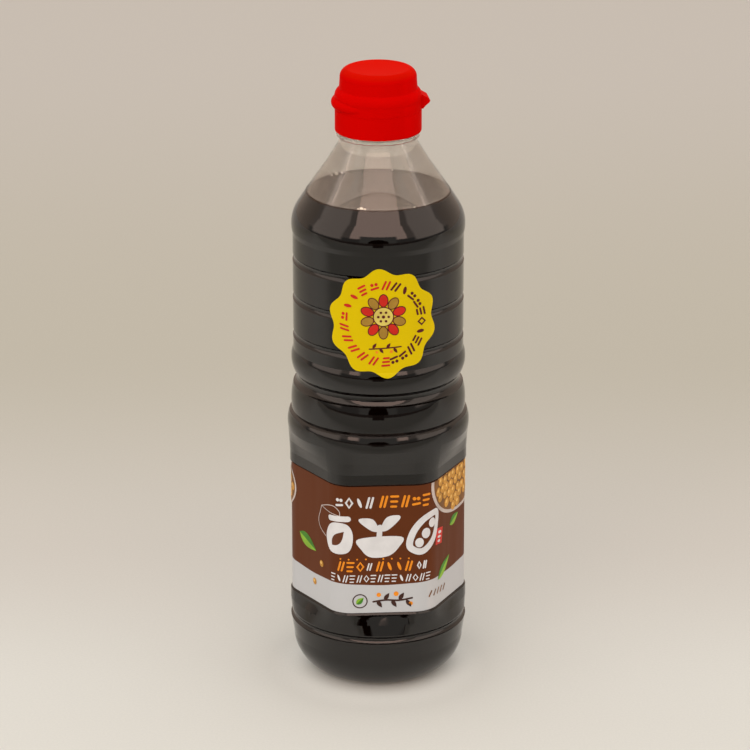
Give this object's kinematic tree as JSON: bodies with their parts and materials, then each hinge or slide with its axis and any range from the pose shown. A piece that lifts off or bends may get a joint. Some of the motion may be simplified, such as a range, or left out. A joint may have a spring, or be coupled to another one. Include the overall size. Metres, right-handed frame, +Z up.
{
  "type": "soy sauce bottle",
  "caption": "Shut clear plastic bottle of dark soy sauce, with a ribbed grip, a six-sided label panel and a red flip-top cap.",
  "frame": {"origin": "on the bottle's upright axis, in the plane of the standing ring under the foot", "axes": "+Z up along the axis of the bottle towards the cap, -Y towards the front, where the round seal and the main face of the label are, +X to the right as seen from the front"},
  "size_m": [0.0796, 0.0796, 0.2755],
  "materials": {
    "clear_wall": "clear glossy blown PET",
    "sauce": "dark brown liquid, glossy surface",
    "label_film": "printed film, satin",
    "seal_film": "printed film, glossy",
    "cap_red": "glossy moulded polypropylene"
  },
  "bodies": {
    "root": {"bottle": "clear_wall", "soy_sauce": "sauce", "label": "label_film", "seal_sticker": "seal_film", "cap_base": "cap_red", "cap_lid": "cap_red"}
  },
  "joints": []
}
